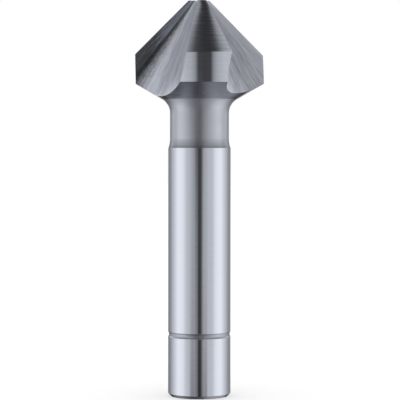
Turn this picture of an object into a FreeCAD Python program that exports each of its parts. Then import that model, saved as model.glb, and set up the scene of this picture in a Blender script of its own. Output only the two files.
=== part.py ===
import FreeCAD, Part
import math
import os

import Sketcher

# Three-flute 90 degree countersink bit, one turned and ground piece of high speed steel.
# The frame stands on the shank's end face: origin at its centre, +Z up the axis to the tip.
# Lengths are in millimetres and angles in degrees.
NODE = "countersink_bit"

SIZES = {
    # turned blank
    "overall_length": 63.0,
    "shank_diameter": 10.0,
    "shank_length": 39.6,
    "shank_chamfer": 0.5,
    "shoulder_depth": 0.07,
    "flare_radius": 4.6,
    "neck_depth": 0.3,
    "neck_fillet": 2.5,
    "back_slope": 30.0,
    "head_diameter": 20.5,
    "land_height": 4.7,
    "cone_angle": 90.0,
    "tip_diameter": 3.5,
    # turned ring near the end of the shank
    "ring_height": 9.92,
    "ring_width": 0.85,
    "ring_floor_width": 0.4,
    "ring_floor_radius": 0.7,
    "ring_depth": 0.13,
    # ground clearance of the cone behind each cutting edge
    "relief_offset": 0.25,
    "relief_sweep": 75.0,
    # where the cutting edges stand, counter-clockwise seen from the tip
    "first_edge": -61.0,
    "second_pitch": 108.0,
    "third_pitch": 132.0,
    # the flat rake face behind each edge, and the line where it meets the flute's floor
    "radial_rake": 11.5,
    "axial_lean": 12.7,
    "tip_web_radius": 0.72,
    "root_slope": 30.5,
    # each flute fans out from a point above the tip, and this is its section at the far end
    "apex_height": 1.25,
    "near_length": 0.5,
    "far_length": 20.0,
    "flute_width": 40.0,
    "flute_height": 32.0,
    "root_depth": 1.4,
    "root_radius": 5.0,
    "floor_radius": 44.0,
    "first_floor_angle": 7.0,
    "second_floor_angle": 25.0,
    "third_floor_angle": 17.5,
}

# Radii and heights that follow from the sizes above
SHANK_RADIUS = "sizes.shank_diameter / 2"
SHOULDER_RADIUS = f"({SHANK_RADIUS} - sizes.shoulder_depth)"
NECK_RADIUS = f"({SHANK_RADIUS} - sizes.neck_depth)"
HEAD_RADIUS = "sizes.head_diameter / 2"
TIP_RADIUS = "sizes.tip_diameter / 2"
CONE_RISE = "tan(90 - sizes.cone_angle / 2)"
CONE_APEX = f"(sizes.overall_length + {TIP_RADIUS} * {CONE_RISE})"
CONE_BASE = f"({CONE_APEX} - {HEAD_RADIUS} * {CONE_RISE})"
LAND_BASE = f"({CONE_BASE} - sizes.land_height)"

# Flutes by name, with the angle of the cutting edge that each one forms
FLUTE_EDGES = {
    "first": "sizes.first_edge",
    "second": "(sizes.first_edge + sizes.second_pitch)",
    "third": "(sizes.first_edge + sizes.second_pitch + sizes.third_pitch)",
}


def fill_sheet(doc):
    sheet = doc.addObject("Spreadsheet::Sheet", "sizes")
    for row, (name, value) in enumerate(SIZES.items(), start=1):
        sheet.set(f"A{row}", name)
        sheet.set(f"B{row}", str(value))
        sheet.setAlias(f"B{row}", name)
    doc.recompute()


def placement(x, y, z, *turns):
    """Expression for a placement at a point, turned about X, Y or Z in the order given."""
    axes = {"x": "vector(1; 0; 0)", "y": "vector(0; 1; 0)", "z": "vector(0; 0; 1)"}
    rotations = [f"rotation({axes[axis]}; {angle})" for axis, angle in turns]
    return f"placement(vector({x}; {y}; {z}); {' * '.join(rotations)})"


def add_sketch(body, name, plane, *places):
    """Sketch on one of the body's own planes, moved by placements given as expressions."""
    sketch = body.newObject("Sketcher::SketchObject", name)
    support = [item for item in body.Origin.OriginFeatures if item.Role == plane]
    sketch.AttachmentSupport = [(support[0], "")]
    sketch.MapMode = "FlatFace"
    if places:
        sketch.setExpression("AttachmentOffset", " * ".join(places))
    return sketch


def bind(sketch, name, expression, kind, *where):
    value = float(sketch.evalExpression(expression))
    index = sketch.addConstraint(Sketcher.Constraint(kind, *where, value))
    sketch.renameConstraint(index, name)
    sketch.setExpression(f"Constraints.{name}", expression)


def left_turn(start, end, radius):
    """Arc that turns left on its way from start to end."""
    chord = end - start
    sagitta = radius - math.sqrt(radius**2 - (chord.Length / 2) ** 2)
    right = FreeCAD.Vector(chord.y, -chord.x, 0).normalize()
    return Part.Arc(start, (start + end) / 2 + right * sagitta, end)


def add_outline(sketch, corners):
    """Closed outline of corners: a name, x, y, and the radius where an arc leads to the next one."""
    count = len(corners)
    points = []
    for _, x, y, *_ in corners:
        points.append(FreeCAD.Vector(*(float(sketch.evalExpression(size)) for size in (x, y)), 0))
    for index, (name, _, _, *radius) in enumerate(corners):
        start = points[index]
        end = points[(index + 1) % count]
        if radius:
            value = float(sketch.evalExpression(radius[0]))
            sketch.addGeometry(left_turn(start, end, value))
        else:
            sketch.addGeometry(Part.LineSegment(start, end))
    for index in range(count):
        following = (index + 1) % count
        sketch.addConstraint(Sketcher.Constraint("Coincident", index, 2, following, 1))
    for index, (name, x, y, *radius) in enumerate(corners):
        bind(sketch, f"{name}_x", x, "DistanceX", -1, 1, index, 1)
        bind(sketch, f"{name}_y", y, "DistanceY", -1, 1, index, 1)
        if radius:
            bind(sketch, f"{name}_radius", radius[0], "Radius", index)


def revolve(body, kind, name, sketch, angle):
    feature = body.newObject(kind, name)
    feature.Profile = sketch
    feature.ReferenceAxis = (sketch, ["V_Axis"])
    feature.setExpression("Angle", angle)
    return feature


def add_blank(body):
    """Turned blank, outlined from the tip down to the end of the shank."""
    flare_width = f"({SHOULDER_RADIUS} - {NECK_RADIUS})"
    flare_height = f"sqrt({flare_width} * (2 * sizes.flare_radius - {flare_width}))"
    neck_corner = f"({LAND_BASE} - ({HEAD_RADIUS} - {NECK_RADIUS}) * tan(sizes.back_slope))"
    tangent = "sizes.neck_fillet * tan(45 - sizes.back_slope / 2)"
    fillet_x = f"{NECK_RADIUS} + {tangent} * cos(sizes.back_slope)"
    fillet_y = f"{neck_corner} + {tangent} * sin(sizes.back_slope)"
    corners = [
        ("tip_centre", "0", "sizes.overall_length"),
        ("tip_rim", TIP_RADIUS, "sizes.overall_length"),
        ("cone_base", HEAD_RADIUS, CONE_BASE),
        ("land_base", HEAD_RADIUS, LAND_BASE),
        ("fillet_top", fillet_x, fillet_y, "sizes.neck_fillet"),
        ("fillet_foot", NECK_RADIUS, f"{neck_corner} - {tangent}"),
        ("flare_top", NECK_RADIUS, f"sizes.shank_length + {flare_height}", "sizes.flare_radius"),
        ("flare_foot", SHOULDER_RADIUS, "sizes.shank_length"),
        ("shoulder", SHANK_RADIUS, "sizes.shank_length"),
        ("chamfer_top", SHANK_RADIUS, "sizes.shank_chamfer"),
        ("chamfer_foot", f"{SHANK_RADIUS} - sizes.shank_chamfer", "0"),
        ("end_centre", "0", "0"),
    ]
    sketch = add_sketch(body, "blank_outline", "XZ_Plane")
    add_outline(sketch, corners)
    return revolve(body, "PartDesign::Revolution", "blank", sketch, "360")


def add_ring(body):
    """Shallow ring turned round the shank, with sloping sides and a rounded floor."""
    half_floor = "sizes.ring_floor_width / 2"
    half_mouth = f"(sizes.ring_width - {half_floor})"
    floor = f"{SHANK_RADIUS} - sizes.ring_depth"
    outside = f"{SHANK_RADIUS} + sizes.ring_depth"
    corners = [
        ("floor_low", floor, f"sizes.ring_height - {half_floor}"),
        ("mouth_low", outside, f"sizes.ring_height - {half_mouth}"),
        ("mouth_high", outside, f"sizes.ring_height + {half_mouth}"),
        ("floor_high", floor, f"sizes.ring_height + {half_floor}", "sizes.ring_floor_radius"),
    ]
    sketch = add_sketch(body, "ring_outline", "XZ_Plane")
    add_outline(sketch, corners)
    return revolve(body, "PartDesign::Groove", "ring", sketch, "360")


def add_relief(body, name, edge):
    """Clearance ground on the cone behind a cutting edge, about an axis set off ahead of it."""
    outside = "sizes.head_diameter"
    corners = [
        ("apex", "0", CONE_APEX),
        ("rim_high", outside, CONE_APEX),
        ("rim_low", outside, f"{CONE_APEX} - {outside} * {CONE_RISE}"),
    ]
    turned = placement("0", "0", "0", ("z", edge))
    upright = placement("0", "sizes.relief_offset", "0", ("x", "90"))
    sketch = add_sketch(body, f"{name}_relief_outline", "XY_Plane", turned, upright)
    add_outline(sketch, corners)
    relief = revolve(body, "PartDesign::Groove", f"{name}_relief", sketch, "sizes.relief_sweep")
    relief.Reversed = True
    return relief


def add_flute(body, name, edge):
    """Flute with a flat rake face, a rounded root and a hollow floor, fanning out from the tip.

    The rake face passes through the outer corner of the cutting edge. Both sections are square to
    the root and alike, and their X points outward along the rake face, their Y into the flute.
    """
    above = f"(sizes.overall_length - {CONE_BASE}) / cos(sizes.axial_lean)"
    drift = f"{above} * sin(sizes.axial_lean) * sin(sizes.radial_rake)"
    inward = f"({HEAD_RADIUS} - sizes.tip_web_radius - {drift}) / cos(sizes.radial_rake)"
    places = [
        placement("0", "0", "0", ("z", edge)),
        placement(HEAD_RADIUS, "0", CONE_BASE, ("z", "sizes.radial_rake"), ("x", "-sizes.axial_lean")),
        placement(f"-{inward}", "0", above, ("y", "-sizes.root_slope")),
    ]
    sections = []
    for end in ("near", "far"):
        shift = placement("0", "0", f"sizes.apex_height - sizes.{end}_length", ("z", "0"))
        sketch = add_sketch(body, f"{name}_flute_{end}", "XY_Plane", *places, shift)
        add_outline(sketch, flute_section(name, f"sizes.{end}_length / sizes.far_length"))
        sections.append(sketch)
    flute = body.newObject("PartDesign::SubtractiveLoft", f"{name}_flute")
    flute.Profile = sections[0]
    flute.Sections = [sections[1]]
    flute.Ruled = True
    return flute


def flute_section(name, scale):
    """Corners of a flute's section: its floor is an arc that starts at the foot of the rake face."""
    angle = f"sizes.{name}_floor_angle"
    centre_x = f"(sizes.floor_radius * cos({angle}) - sizes.root_depth)"
    centre_y = f"(sizes.floor_radius * sin({angle}))"
    inside = "(sizes.floor_radius - sizes.root_radius)"
    reach = f"sqrt({inside}^2 - ({centre_y} - sizes.root_radius)^2)"
    share = f"sizes.floor_radius / {inside}"
    far_x = f"{centre_x} - sqrt(sizes.floor_radius^2 - (sizes.flute_width - {centre_y})^2)"
    floor_y = f"{centre_y} - ({centre_y} - sizes.root_radius) * {share}"
    corners = [
        ("rake_top", "sizes.flute_height", "0"),
        ("far_top", "sizes.flute_height", "sizes.flute_width"),
        ("far_rim", far_x, "sizes.flute_width", "sizes.floor_radius"),
        ("floor_end", f"{centre_x} - {reach} * {share}", floor_y, "sizes.root_radius"),
        ("rake_foot", f"{centre_x} - {reach}", "0"),
    ]
    return [(corner, *(f"({size}) * {scale}" for size in sizes)) for corner, *sizes in corners]


def check(doc, body, features):
    """Each object is up to date, each cut takes steel away, and one valid solid is left."""
    for item in doc.Objects:
        if "Invalid" in item.State or "Error" in item.State:
            raise RuntimeError(f"{item.Name} is in state {item.State}")
    for earlier, cut in zip(features, features[1:]):
        if cut.Shape.Volume >= earlier.Shape.Volume:
            raise RuntimeError(f"{cut.Name} takes nothing away")
        print(f"{cut.Name}: {earlier.Shape.Volume - cut.Shape.Volume:.2f} mm3 cut away")
    if body.Shape.isNull() or not body.Shape.isValid() or len(body.Shape.Solids) != 1:
        raise RuntimeError(f"{body.Label} is not one valid solid")


def main():
    doc = FreeCAD.newDocument(NODE)
    fill_sheet(doc)
    body = doc.addObject("PartDesign::Body", NODE)
    body.Label = NODE
    body.Placement = FreeCAD.Placement()
    features = [add_blank(body), add_ring(body)]
    for name, edge in FLUTE_EDGES.items():
        features.append(add_relief(body, name, edge))
    for name, edge in FLUTE_EDGES.items():
        features.append(add_flute(body, name, edge))
    doc.recompute()
    check(doc, body, features)
    os.makedirs("parts", exist_ok=True)
    body.Shape.exportStep(os.path.join("parts", f"{body.Label}.step"))


main()
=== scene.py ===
import math

import bmesh
import bpy
from mathutils import Matrix, Vector


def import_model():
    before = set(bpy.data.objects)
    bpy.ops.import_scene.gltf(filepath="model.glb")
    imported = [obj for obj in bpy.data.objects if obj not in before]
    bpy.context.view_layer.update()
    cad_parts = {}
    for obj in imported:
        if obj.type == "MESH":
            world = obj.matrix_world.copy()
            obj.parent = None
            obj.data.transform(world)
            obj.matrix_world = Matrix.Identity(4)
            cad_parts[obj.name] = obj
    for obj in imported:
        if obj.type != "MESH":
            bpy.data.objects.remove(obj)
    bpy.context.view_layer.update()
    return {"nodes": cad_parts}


# Three-flute 90 degree countersink bit in bare ground steel, standing on its shank's end.
# The frame is in metres: origin at the centre of the end face, +Z to the cutting tip.
# The lengths here are in millimetres and the angles in degrees, unless a comment says otherwise.
MM = 0.001

# Heights, radii and slope of the part where one finish meets the next
SHANK_RADIUS = 5.0
SHANK_TOP = 39.6
RING_HEIGHT = 9.92
NECK_TOP = 47.3
LAND_BASE = 49.8
HEAD_RADIUS = 10.25
TIP_HEIGHT = 63.0
BACK_SLOPE = 30

# How far a face's centre may lie from the outline that it belongs to
OUTLINE_PLAY = 0.04
CONE_PLAY = 0.3
TIP_PLAY = 0.01
# The ring's reach up and down, and how deep under the shank's surface its faces start
RING_REACH = 1
RING_DEPTH = 0.02
# Limits on a face's unit normal: its part along the radius on the land, along the radius and along
# the axis on the cone, and along the axis on the back cone
LAND_FACING = 0.99
CONE_FACING = 0.5
BACK_FACING = -0.8

# Cutting edges, counter-clockwise seen from the tip, and how each flute lies to its edge
FLUTE_EDGES = {"first": -61.0, "second": 47.0, "third": 179.0}
EDGE_HEIGHT = 54.5
RADIAL_RAKE = 11.5
AXIAL_LEAN = 12.7
WEB_RADIUS = 0.72
ROOT_SLOPE = 30.5
APEX_HEIGHT = 1.25
# How far clockwise of its edge a flute's face may lie. The rest of the flute is on the other side.
UNDERCUT = 20
# Cosine of the turn within a flute's root, from the rake face, where its finish changes
ROOT_TURN = 0.86

# Colours, and the share by which a finish's roughness varies with its marks
STEEL = (0.57, 0.585, 0.64)
# The dark tone below is painted shade for the neck's corner over the shank.
CORNER_SHADE_TONE = (0.03, 0.03, 0.035, 1)
WHITE = (1, 1, 1, 1)
CLOTH = (0.96, 0.98, 1.0, 1)
PAPER_DARK = (0.86, 0.86, 0.86, 1)
PAPER_LIGHT = (0.9, 0.9, 0.9, 1)
ROUGHNESS_PLAY = 0.15

# Middle part of a noise's values, which holds nearly all of them
NOISE_LOW = 0.3
NOISE_HIGH = 0.7
# Marks round the axis: how often they change over a metre of their length
MARKS_ROUND = 120
# Marks along a flute: how fast they change over a metre of their length, how fine the broad bands
# and the fine lines are, the share of each, and how far from the apex their relief is measured
MARKS_ALONG = 12.0
BANDS = 9.0
LINES = 30.0
BANDS_SHARE = 0.4
LINES_SHARE = 0.6
RELIEF_REACH = 10
# The cone's back-off: a drop per radian of turn, an even part in radians, and the radius inside
# which it stays the same
CONE_DROP = 0.8
CONE_BACK_OFF = 0.06
CONE_LEAST_RADIUS = 2.6

# Studio: sizes and levels, and the tent's dark gap and open back as parts of a unit direction
TENT_RADIUS = 2000
TABLE_RADIUS = 1500
TABLE_GRAIN = 400.0
TABLE_GLOW = 0.3
PLAIN_LEVEL = 0.85
WHITE_LEVEL = 1
GAP_CENTRE = -0.045
OPEN_BACK = 0.97
# How far from the gap's centre the side panels start to reach further down, and how steeply
PANEL_SIDE = 0.5
PANEL_REACH = 2.6

# Camera: its place and how it is turned from a level look along +Y
LENS = 167.4
CLIP_START = 10
CAMERA_PLACE = (-2.13, -296.5, 40.33)
CAMERA_YAW = -0.43
CAMERA_DIP = 1.746
CAMERA_ROLL = 0.05


def node_tree(owner):
    owner.use_nodes = True
    owner.node_tree.nodes.clear()
    return owner.node_tree


def feed(tree, socket, value):
    """Set an input socket to a constant, or link it to another node's output."""
    if isinstance(value, bpy.types.NodeSocket):
        tree.links.new(value, socket)
    else:
        socket.default_value = value


def add(tree, kind, **values):
    """New node with its settings, or else its input sockets, given by name."""
    node = tree.nodes.new(kind)
    for name, value in values.items():
        if hasattr(node, name):
            setattr(node, name, value)
        else:
            feed(tree, node.inputs[name.replace("_", " ")], value)
    return node


def calculate(tree, operation, *values):
    node = add(tree, "ShaderNodeMath", operation=operation)
    for socket, value in zip(node.inputs, values):
        feed(tree, socket, value)
    return node.outputs["Value"]


def multiply(tree, first, *others):
    product = first
    for other in others:
        product = calculate(tree, "MULTIPLY", product, other)
    return product


def calculate_vector(tree, operation, *values):
    node = add(tree, "ShaderNodeVectorMath", operation=operation)
    for socket, value in zip(node.inputs, values):
        feed(tree, socket, value)
    return node.outputs["Value" if operation == "LENGTH" else "Vector"]


def profile(tree, value, stops):
    """Level that follows straight lines between stops, each a value and its level."""
    low = stops[0][0]
    high = stops[-1][0]
    spread = add(tree, "ShaderNodeMapRange", Value=value, From_Min=low, From_Max=high)
    node = add(tree, "ShaderNodeFloatCurve", Value=spread.outputs["Result"])
    curve = node.mapping.curves[0]
    node.mapping.use_clip = False
    node.mapping.extend = "HORIZONTAL"
    places = [((at - low) / (high - low), level) for at, level in stops]
    curve.points[0].location = places[0]
    curve.points[1].location = places[-1]
    for place in places[1:-1]:
        curve.points.new(*place)
    for point in curve.points:
        point.handle_type = "VECTOR"
    node.mapping.update()
    return node.outputs["Value"]


def place_on_object(tree):
    return add(tree, "ShaderNodeTexCoord").outputs["Object"]


def surface_normal(tree):
    return add(tree, "ShaderNodeNewGeometry").outputs["Normal"]


def parts_of(tree, vector):
    return add(tree, "ShaderNodeSeparateXYZ", Vector=vector).outputs


def mixed(tree, share, first, second):
    """Shader that is the first one where the share is 0 and the second where it is 1."""
    mix = add(tree, "ShaderNodeMixShader", Fac=share)
    tree.links.new(first.outputs[0], mix.inputs[1])
    tree.links.new(second.outputs[0], mix.inputs[2])
    return mix.outputs[0]


def backdrop():
    """White to the camera and to whatever mirrors it or lets it through, a plain level to the rest."""
    world = bpy.data.worlds.new("backdrop")
    bpy.context.scene.world = world
    tree = node_tree(world)
    path = add(tree, "ShaderNodeLightPath").outputs
    mirrored = calculate(tree, "MAXIMUM", path["Is Glossy Ray"], path["Is Transmission Ray"])
    seen = calculate(tree, "MAXIMUM", path["Is Camera Ray"], mirrored)
    plain = add(tree, "ShaderNodeBackground", Color=WHITE, Strength=PLAIN_LEVEL)
    white = add(tree, "ShaderNodeBackground", Color=WHITE, Strength=WHITE_LEVEL)
    add(tree, "ShaderNodeOutputWorld", Surface=mixed(tree, seen, plain, white))


def side_panels(tree, x, y, z):
    """Level of the soft panels at both sides and overhead, with the dark gap between them."""
    side = calculate(tree, "ABSOLUTE", calculate(tree, "SUBTRACT", x, GAP_CENTRE))
    narrower = profile(tree, z, [(0.8, 1), (0.95, 1.1), (1, 1.1)])
    gap = profile(tree, multiply(tree, side, narrower), [
        (0, 0.1), (0.19, 0.11), (0.29, 0.56), (0.4, 0.8), (0.6, 1), (1.1, 1),
    ])
    aside = calculate(tree, "ABSOLUTE", x)
    bright = profile(tree, aside, [(0, 0.8), (0.7, 0.83), (0.8, 1), (0.87, 1.24), (1, 1.4)])
    depth = profile(tree, y, [
        (-1, 1), (-0.1, 1), (0, 0.92), (0.34, 0.65), (0.58, 0.53), (0.8, 0.48), (0.95, 0.5), (1, 0.6),
    ])
    reach = calculate(tree, "MULTIPLY_ADD", side, PANEL_REACH, -PANEL_REACH * PANEL_SIDE)
    lifted = calculate(tree, "ADD", z, calculate(tree, "MAXIMUM", reach, 0))
    lifted = calculate(tree, "MINIMUM", lifted, calculate(tree, "MAXIMUM", z, 0))
    height = profile(tree, lifted, [
        (-1, 0), (-0.23, 0.03), (-0.12, 1), (0.05, 1), (0.12, 0.78), (0.25, 0.66), (0.36, 1.05),
        (0.5, 1.0), (0.6, 0.6), (0.77, 0.5), (0.86, 1.1), (0.92, 1.35), (0.97, 1.15), (1, 0.45),
    ])
    # A dark seam crosses them high up, just in front of the bit
    seam = profile(tree, y, [(-0.45, 0), (-0.28, 1), (-0.1, 1), (0.04, 0.4), (0.12, 0)])
    over = profile(tree, z, [(0.42, 0), (0.54, 1), (0.7, 1), (0.85, 0)])
    dimmed = calculate(tree, "SUBTRACT", 1, multiply(tree, seam, over))
    return multiply(tree, gap, bright, depth, dimmed, height)


def dim_table(tree, x, z):
    """Level of the table, which is lighter away from the middle."""
    table = profile(tree, z, [
        (-1, 0.2), (-0.6, 0.17), (-0.45, 0.035), (-0.34, 0.03), (-0.2, 0), (1, 0),
    ])
    lean = profile(tree, x, [
        (-1, 3.3), (-0.5, 2.6), (-0.34, 1), (-0.22, 0.5), (0, 0.5), (0.1, 0.8), (0.22, 1.9),
        (0.5, 3), (1, 3.5),
    ])
    return multiply(tree, table, lean)


def gap_sides(tree, x, z):
    """Level of the two strips that lighten the gap's sides, from level down to a little under it."""
    strips = profile(tree, x, [
        (-0.38, 0), (-0.3, 1), (-0.14, 1), (-0.07, 0), (0.08, 0), (0.16, 0.7), (0.28, 0.5), (0.4, 0),
    ])
    below = profile(tree, z, [
        (-0.24, 0), (-0.17, 0.32), (-0.1, 0.32), (-0.05, 0.28), (0, 0.12), (0.03, 0),
    ])
    return multiply(tree, strips, below)


def back_panels(tree, y, z):
    """Level of the panels behind the bit and a little above it."""
    behind = profile(tree, y, [(0.4, 0), (0.62, 1.7), (0.72, 1.7), (0.88, 0.3), (1, 0.3)])
    over = profile(tree, z, [(0.17, 0), (0.27, 1), (0.38, 1), (0.52, 0)])
    return multiply(tree, behind, over)


def light_tent():
    """What the steel mirrors: soft panels, a dark gap for the lens, a dim table, an open back."""
    material = bpy.data.materials.new("light_tent")
    tree = node_tree(material)
    direction = calculate_vector(tree, "NORMALIZE", place_on_object(tree))
    x, y, z = parts_of(tree, direction)
    level = side_panels(tree, x, y, z)
    for extra in (dim_table(tree, x, z), gap_sides(tree, x, z), back_panels(tree, y, z)):
        level = calculate(tree, "ADD", level, extra)
    cloth = add(tree, "ShaderNodeEmission", Color=CLOTH, Strength=level)
    opening = add(tree, "ShaderNodeBsdfTransparent")
    opened = calculate(tree, "GREATER_THAN", y, OPEN_BACK)
    add(tree, "ShaderNodeOutputMaterial", Surface=mixed(tree, opened, cloth, opening))
    tent = add_stage("light_tent", material)
    ball = bmesh.new()
    bmesh.ops.create_uvsphere(ball, u_segments=48, v_segments=24, radius=TENT_RADIUS * MM)
    ball.to_mesh(tent.data)
    ball.free()
    tent.location.z = LAND_BASE * MM
    tent.visible_camera = False
    tent.visible_diffuse = False
    tent.visible_shadow = False


def add_stage(name, material):
    mesh = bpy.data.meshes.new(name)
    mesh.materials.append(material)
    item = bpy.data.objects.new(name, mesh)
    bpy.context.scene.collection.objects.link(item)
    return item


def floor():
    """Pale table top under the bit. It keeps the bit's soft shadow and is white beyond it."""
    material = bpy.data.materials.new("pale_table")
    tree = node_tree(material)
    noise = add(
        tree, "ShaderNodeTexNoise", Vector=place_on_object(tree), Scale=TABLE_GRAIN, Detail=2.0,
    )
    tone = add(
        tree, "ShaderNodeMixRGB", Fac=noise.outputs[0], Color1=PAPER_DARK, Color2=PAPER_LIGHT,
    )
    paper = add(tree, "ShaderNodeBsdfDiffuse", Color=tone.outputs[0])
    path = add(tree, "ShaderNodeLightPath").outputs
    seen = multiply(tree, path["Is Camera Ray"], TABLE_GLOW)
    glow = add(tree, "ShaderNodeEmission", Color=WHITE, Strength=seen)
    both = add(tree, "ShaderNodeAddShader")
    tree.links.new(paper.outputs[0], both.inputs[0])
    tree.links.new(glow.outputs[0], both.inputs[1])
    add(tree, "ShaderNodeOutputMaterial", Surface=both.outputs[0])
    table = add_stage("table", material)
    top = bmesh.new()
    bmesh.ops.create_circle(top, cap_ends=True, segments=96, radius=TABLE_RADIUS * MM)
    top.to_mesh(table.data)
    top.free()
    table.visible_glossy = False


def finish(
    tree, pattern, tangent, relief, roughness, anisotropic, contrast,
    metallic=1, shade=1, corner_shade=None, normal=None,
):
    """Bare steel whose tone, roughness and fine relief follow a pattern from 0 to 1.

    The relief is in metres. The contrast is a share of the steel's own tone. The painted shade is a
    share of it too, which darkens the tone to stand in for shade on some faces.
    """
    tone = add(tree, "ShaderNodeMixRGB", Fac=pattern)
    # Painted shade: both tones are scaled down by a share that stands in for shade.
    tone.inputs["Color1"].default_value = (*(shade * level * (1 - contrast) for level in STEEL), 1)
    tone.inputs["Color2"].default_value = (*(shade * level * (1 + contrast) for level in STEEL), 1)
    # Painted shade: a dark tone mixed in at the neck's corner over the shank.
    if corner_shade:
        tone = add(tree, "ShaderNodeMixRGB", Fac=corner_shade, Color1=tone.outputs[0], Color2=CORNER_SHADE_TONE)
    spread = add(
        tree, "ShaderNodeMapRange", Value=pattern,
        To_Min=roughness * (1 - ROUGHNESS_PLAY), To_Max=roughness * (1 + ROUGHNESS_PLAY),
    )
    bump = add(tree, "ShaderNodeBump", Strength=1.0, Distance=relief, Height=pattern)
    if normal:
        feed(tree, bump.inputs["Normal"], normal)
    shader = add(
        tree, "ShaderNodeBsdfPrincipled", Metallic=metallic, Anisotropic=anisotropic,
        Base_Color=tone.outputs[0], Roughness=spread.outputs["Result"],
        Normal=bump.outputs[0], Tangent=tangent,
    )
    add(tree, "ShaderNodeOutputMaterial", Surface=shader.outputs[0])


def stretched(tree, noise):
    """The noise, whose values crowd round the middle, spread over 0 to 1."""
    spread = add(
        tree, "ShaderNodeMapRange", Value=noise.outputs[0], From_Min=NOISE_LOW, From_Max=NOISE_HIGH,
    )
    return spread.outputs["Result"]


def across(tree, marks):
    """Direction on the surface at right angles to the marks that the grinding left."""
    return calculate_vector(tree, "CROSS_PRODUCT", surface_normal(tree), marks)


def from_axis(tree):
    """Level offset of the place from the part's axis."""
    return calculate_vector(tree, "MULTIPLY", place_on_object(tree), (1, 1, 0))


def turned(tree, normal, angle):
    """The normal turned round the part's axis by an angle in radians."""
    rotate = add(tree, "ShaderNodeVectorRotate", rotation_type="Z_AXIS", Vector=normal, Angle=angle)
    return rotate.outputs[0]


def cone_turn(tree):
    """Turn of the cone's normal. It is ground along a spiral, so it is steeper nearer the tip."""
    offset = calculate_vector(tree, "LENGTH", from_axis(tree))
    radius = calculate(tree, "MAXIMUM", offset, CONE_LEAST_RADIUS * MM)
    drop = calculate(tree, "DIVIDE", -CONE_DROP * MM, radius)
    return calculate(tree, "SUBTRACT", drop, CONE_BACK_OFF)


def painted_corner_shade(tree):
    """Share of the painted shade on the neck, darkest in the corner over the shank and fading with the
    height above it.
    """
    height = parts_of(tree, place_on_object(tree))[2]
    above = calculate(tree, "MULTIPLY_ADD", height, 1 / MM, -SHANK_TOP)
    return profile(tree, above, [(0, 0.5), (0.3, 0.45), (0.5, 0.3), (0.8, 0.25), (1.6, 0)])


def turned_steel(name, pitch, relief, back_off=0, conical=False, corner_shaded=False, **look):
    """Steel turned or ground round its axis, with marks round it at a pitch.

    The back-off is how far a tooth's land falls away behind the cutting edge. The conical steel is
    as even as a true right-angled cone and has a back-off of its own. The corner-shaded steel has
    painted shade: a dark tone in the corner over the shank, where shade falls.
    """
    material = bpy.data.materials.new(name)
    tree = node_tree(material)
    stretch = add(tree, "ShaderNodeMapping", Vector=place_on_object(tree))
    stretch.inputs["Scale"].default_value = (MARKS_ROUND, MARKS_ROUND, 1 / (pitch * MM))
    noise = add(
        tree, "ShaderNodeTexNoise", Vector=stretch.outputs[0], Scale=1.0, Detail=3.0, Roughness=0.6,
    )
    if conical:
        outward = calculate_vector(tree, "NORMALIZE", from_axis(tree))
        upward = calculate_vector(tree, "ADD", outward, (0, 0, 1))
        normal = calculate_vector(tree, "NORMALIZE", upward)
        normal = turned(tree, normal, cone_turn(tree))
        tangent = calculate_vector(tree, "ADD", outward, (0, 0, -1))
    else:
        rings = add(tree, "ShaderNodeTangent", direction_type="RADIAL", axis="Z")
        normal = turned(tree, surface_normal(tree), -math.radians(back_off))
        tangent = across(tree, rings.outputs[0])
    # The neck's painted shade in its corner over the shank.
    corner_shade = painted_corner_shade(tree) if corner_shaded else None
    pattern = stretched(tree, noise)
    finish(tree, pattern, tangent, relief * MM, corner_shade=corner_shade, normal=normal, **look)
    return material


def flute_apex(edge):
    """Frame of a flute: its apex, X outward along the rake face, Y into the flute, Z up its root."""
    lean = math.radians(AXIAL_LEAN)
    rake = math.radians(RADIAL_RAKE)
    above = (TIP_HEIGHT - EDGE_HEIGHT) / math.cos(lean)
    drift = above * math.sin(lean) * math.sin(rake)
    inward = (HEAD_RADIUS - WEB_RADIUS - drift) / math.cos(rake)
    round_axis = Matrix.Rotation(math.radians(edge), 4, "Z")
    corner = Matrix.Translation((HEAD_RADIUS, 0, EDGE_HEIGHT))
    leaned = Matrix.Rotation(rake, 4, "Z") @ Matrix.Rotation(-lean, 4, "X")
    web = Matrix.Translation((-inward, 0, above))
    sloped = Matrix.Rotation(-math.radians(ROOT_SLOPE), 4, "Y")
    return round_axis @ corner @ leaned @ web @ sloped @ Matrix.Translation((0, 0, APEX_HEIGHT))


def flute_steel(name, edge, relief, **look):
    """Steel ground along a flute: marks fan out from the flute's apex, in broad bands and fine lines.

    Their relief grows from nothing at the apex, and is the given one at RELIEF_REACH from it.
    """
    material = bpy.data.materials.new(name)
    tree = node_tree(material)
    apex = flute_apex(edge)
    apex_place = apex.translation * MM
    local = add(
        tree, "ShaderNodeMapping", vector_type="TEXTURE", Vector=place_on_object(tree),
        Location=apex_place, Rotation=apex.to_euler(),
    )
    x, y, z = parts_of(tree, local.outputs[0])
    fan = add(
        tree, "ShaderNodeCombineXYZ", X=calculate(tree, "DIVIDE", x, z),
        Y=calculate(tree, "DIVIDE", y, z), Z=multiply(tree, z, MARKS_ALONG),
    ).outputs[0]
    bands = add(tree, "ShaderNodeTexNoise", Vector=fan, Scale=BANDS, Detail=2.0, Roughness=0.5)
    lines = add(tree, "ShaderNodeTexNoise", Vector=fan, Scale=LINES, Detail=2.0, Roughness=0.6)
    fine = multiply(tree, stretched(tree, lines), LINES_SHARE)
    pattern = calculate(tree, "MULTIPLY_ADD", stretched(tree, bands), BANDS_SHARE, fine)
    marks = calculate_vector(tree, "SUBTRACT", place_on_object(tree), apex_place)
    depth = multiply(tree, z, relief / RELIEF_REACH)
    finish(tree, pattern, across(tree, marks), depth, **look)
    return material


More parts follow.
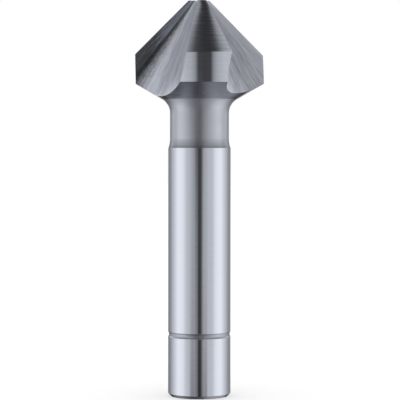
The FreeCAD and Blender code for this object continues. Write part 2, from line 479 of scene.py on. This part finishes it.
def finishes(bit):
    """Names of the bit's finishes, in the order in which their materials are added to it."""
    made = {
        "shank": turned_steel(
            "polished_shank", pitch=0.25, relief=0.0001,
            roughness=0.13, anisotropic=0.7, contrast=0.015,
        ),
        # The ring's tone is darkened: painted shade in the recessed groove.
        "ring": turned_steel(
            "turned_ring", pitch=0.2, relief=0.0004,
            roughness=0.45, anisotropic=0.3, contrast=0.05, shade=0.82,
        ),
        # The neck carries painted shade in its corner over the shank.
        "neck": turned_steel(
            "turned_neck", pitch=0.2, relief=0.0006, corner_shaded=True,
            roughness=0.4, anisotropic=1.0, contrast=0.05, metallic=0.8,
        ),
        # The back cone's tone is darkened: painted shade on the face turned down.
        "back": turned_steel(
            "turned_back", pitch=0.2, relief=0.0004,
            roughness=0.3, anisotropic=0.7, contrast=0.05, shade=0.8,
        ),
        "land": turned_steel(
            "ground_land", pitch=0.3, relief=0.0001, back_off=5.6,
            roughness=0.07, anisotropic=0.5, contrast=0.03,
        ),
        "cone": turned_steel(
            "ground_cone", pitch=0.21, relief=0.0004, conical=True,
            roughness=0.2, anisotropic=0.6, contrast=0.14,
        ),
        "tip": turned_steel(
            "ground_tip", pitch=0.2, relief=0.0004,
            roughness=0.25, anisotropic=0.3, contrast=0.08,
        ),
    }
    for name, edge in FLUTE_EDGES.items():
        # The rake faces' tone is darkened: painted shade inside the flutes.
        made[f"{name} rake"] = flute_steel(
            f"ground_{name}_rake", edge, relief=0.01,
            roughness=0.15, anisotropic=0.7, contrast=0.3, shade=0.9,
        )
        made[f"{name} floor"] = flute_steel(
            f"ground_{name}_floor", edge, relief=0.03,
            roughness=0.36, anisotropic=0.7, contrast=0.32, metallic=0.8,
        )
    bit.data.materials.clear()
    for material in made.values():
        bit.data.materials.append(material)
    return list(made)


def finish_at(centre, normal):
    """Name of the finish on a face, from its centre in millimetres and which way it looks."""
    radius = math.hypot(centre.x, centre.y)
    if abs(centre.z - RING_HEIGHT) < RING_REACH and radius < SHANK_RADIUS - RING_DEPTH:
        return "ring"
    if centre.z < SHANK_TOP:
        return "shank"
    if centre.z < NECK_TOP:
        return "neck"
    if centre.z > TIP_HEIGHT - TIP_PLAY:
        return "tip"
    facing = (normal.x * centre.x + normal.y * centre.y) / radius
    cone = HEAD_RADIUS + EDGE_HEIGHT - centre.z
    back = HEAD_RADIUS - (LAND_BASE - centre.z) / math.tan(math.radians(BACK_SLOPE))
    on_back = centre.z < LAND_BASE and abs(radius - back) < OUTLINE_PLAY
    if on_back and normal.z < BACK_FACING:
        return "back"
    if abs(radius - HEAD_RADIUS) < OUTLINE_PLAY and facing > LAND_FACING:
        return "land"
    if abs(radius - cone) < CONE_PLAY and min(facing, normal.z) > CONE_FACING:
        return "cone"
    angle = math.degrees(math.atan2(centre.y, centre.x))
    flute = min(FLUTE_EDGES, key=lambda name: (angle - FLUTE_EDGES[name] + UNDERCUT) % 360)
    rake = flute_apex(FLUTE_EDGES[flute]).to_3x3().col[1]
    if abs(normal.dot(rake)) > ROOT_TURN:
        return f"{flute} rake"
    return f"{flute} floor"


def camera():
    data = bpy.data.cameras.new("camera")
    data.lens = LENS
    data.clip_start = CLIP_START * MM
    item = bpy.data.objects.new("camera", data)
    bpy.context.scene.collection.objects.link(item)
    item.location = Vector(CAMERA_PLACE) * MM
    yaw = Matrix.Rotation(math.radians(CAMERA_YAW), 4, "Z")
    pitch = Matrix.Rotation(math.radians(90 - CAMERA_DIP), 4, "X")
    roll = Matrix.Rotation(math.radians(CAMERA_ROLL), 4, "Z")
    item.rotation_euler = (yaw @ pitch @ roll).to_euler()
    bpy.context.scene.camera = item


def main():
    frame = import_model()
    bit = frame["nodes"]["countersink_bit"]
    names = finishes(bit)
    for face in bit.data.polygons:
        face.material_index = names.index(finish_at(face.center / MM, face.normal))
    backdrop()
    light_tent()
    floor()
    camera()
    bpy.context.scene.view_settings.view_transform = "Standard"


main()
